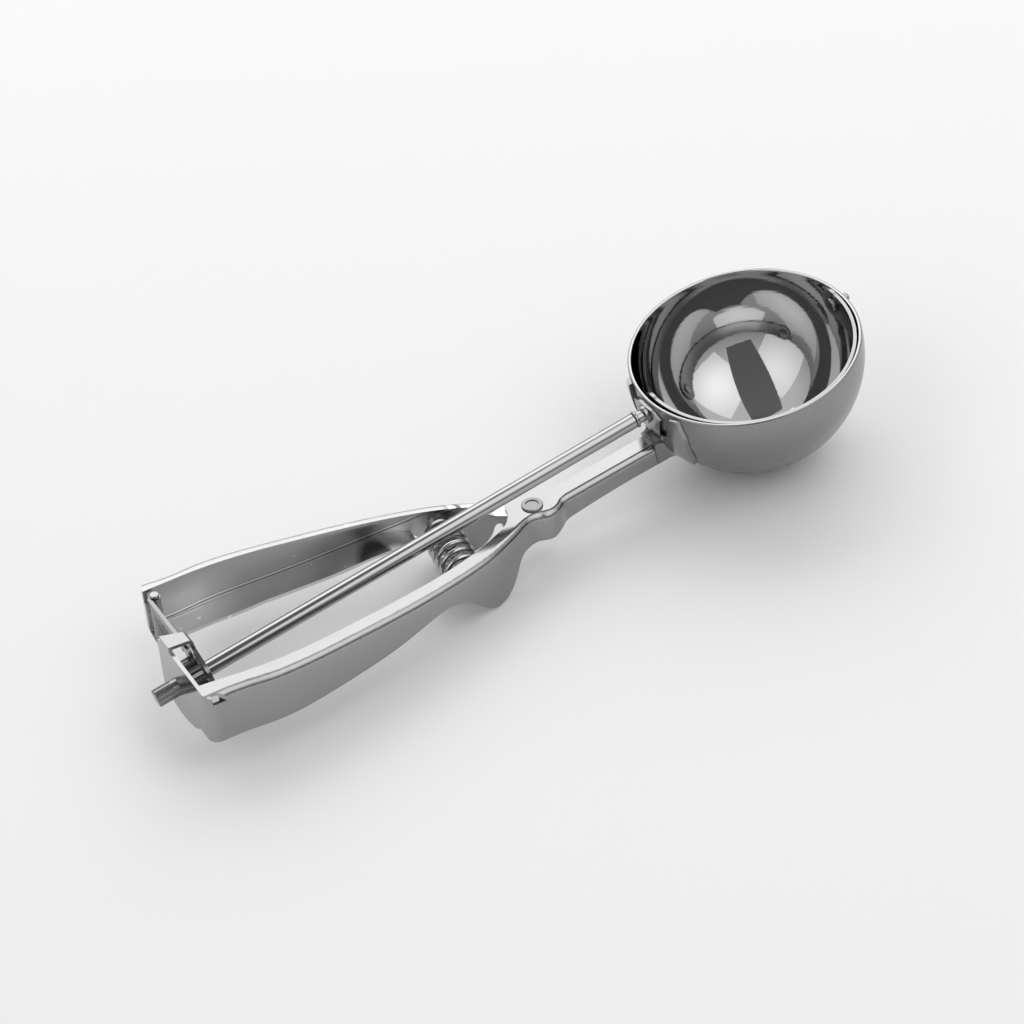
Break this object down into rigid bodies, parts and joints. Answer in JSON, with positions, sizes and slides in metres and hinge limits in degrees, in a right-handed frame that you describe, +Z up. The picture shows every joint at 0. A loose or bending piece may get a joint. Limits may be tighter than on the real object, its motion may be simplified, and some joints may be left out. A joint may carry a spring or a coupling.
{
  "type": "lever ice cream scoop",
  "caption": "Steel ice cream scoop: squeezing the sprung lever drives a toothed rack and pinion that sweeps a curved scraper round the inside of a hemispherical bowl.",
  "frame": {"origin": "middle of the bounding box in plan, on the table that the scoop lies on", "axes": "+X towards the bowl, +Y towards the lever, +Z up, with the scoop lying on the bowl's bottom and its two finger stops"},
  "size_m": [0.197, 0.058, 0.036],
  "materials": {
    "fixed_handle": "polished stainless steel",
    "lever_handle": "polished stainless steel",
    "pivot_rivet": "polished stainless steel",
    "pivot_washers": "satin stainless steel",
    "pivot_spacer": "polished stainless steel",
    "handle_spring": "satin stainless steel",
    "fixed_spring_seat": "polished stainless steel",
    "lever_spring_seat": "polished stainless steel",
    "rack_bridge": "polished stainless steel",
    "rack": "satin stainless steel",
    "rack_pin": "polished stainless steel",
    "rack_washer": "satin stainless steel",
    "bowl": "polished stainless steel",
    "bowl_saddle": "satin stainless steel",
    "rear_bush": "polished stainless steel",
    "front_pin": "polished stainless steel",
    "front_washer": "satin stainless steel",
    "spindle_rod": "polished stainless steel",
    "pinion": "satin stainless steel",
    "rod_collar": "polished stainless steel",
    "scraper_blade": "polished stainless steel",
    "blade_hub": "polished stainless steel"
  },
  "bodies": {
    "frame": {"fixed_handle": "fixed_handle", "bowl": "bowl", "bowl_saddle": "bowl_saddle", "rear_bush": "rear_bush", "front_pin": "front_pin", "front_washer": "front_washer", "rack_bridge": "rack_bridge", "pivot_rivet": "pivot_rivet", "pivot_washers": "pivot_washers", "fixed_spring_seat": "fixed_spring_seat", "handle_spring": "handle_spring"},
    "lever": {"lever_handle": "lever_handle", "pivot_spacer": "pivot_spacer", "rack_pin": "rack_pin", "rack_washer": "rack_washer", "lever_spring_seat": "lever_spring_seat"},
    "rack": {"rack": "rack"},
    "spindle": {"spindle_rod": "spindle_rod", "pinion": "pinion", "rod_collar": "rod_collar", "scraper_blade": "scraper_blade", "blade_hub": "blade_hub"}
  },
  "joints": [
    {"name": "lever_pivot", "type": "hinge", "parent": "frame", "child": "lever", "pos_m": [0.00346, 0, 0.01114], "axis": [0.075, 0, 0.9972], "range_deg": [0, 8], "stiffness_Nm_per_rad": 2, "springref_deg": -17.19, "deforming": ["handle_spring"]},
    {"name": "rack_pivot", "type": "hinge", "parent": "lever", "child": "rack", "pos_m": [-0.08664, 0.022, 0.0159], "axis": [0.075, 0, 0.9972], "range_deg": [-8.5, 0.5]},
    {"name": "spindle_turn", "type": "hinge", "parent": "frame", "child": "spindle", "pos_m": [0.06738, 0, 0.02909], "axis": [0.9951, 0, 0.0993], "range_deg": [-2, 176.17]}
  ],
  "couplings": [
    {"joint": "rack_pivot", "follows": "lever_pivot", "ratio": -1},
    {"joint": "spindle_turn", "follows": "lever_pivot", "ratio": 21.772}
  ]
}
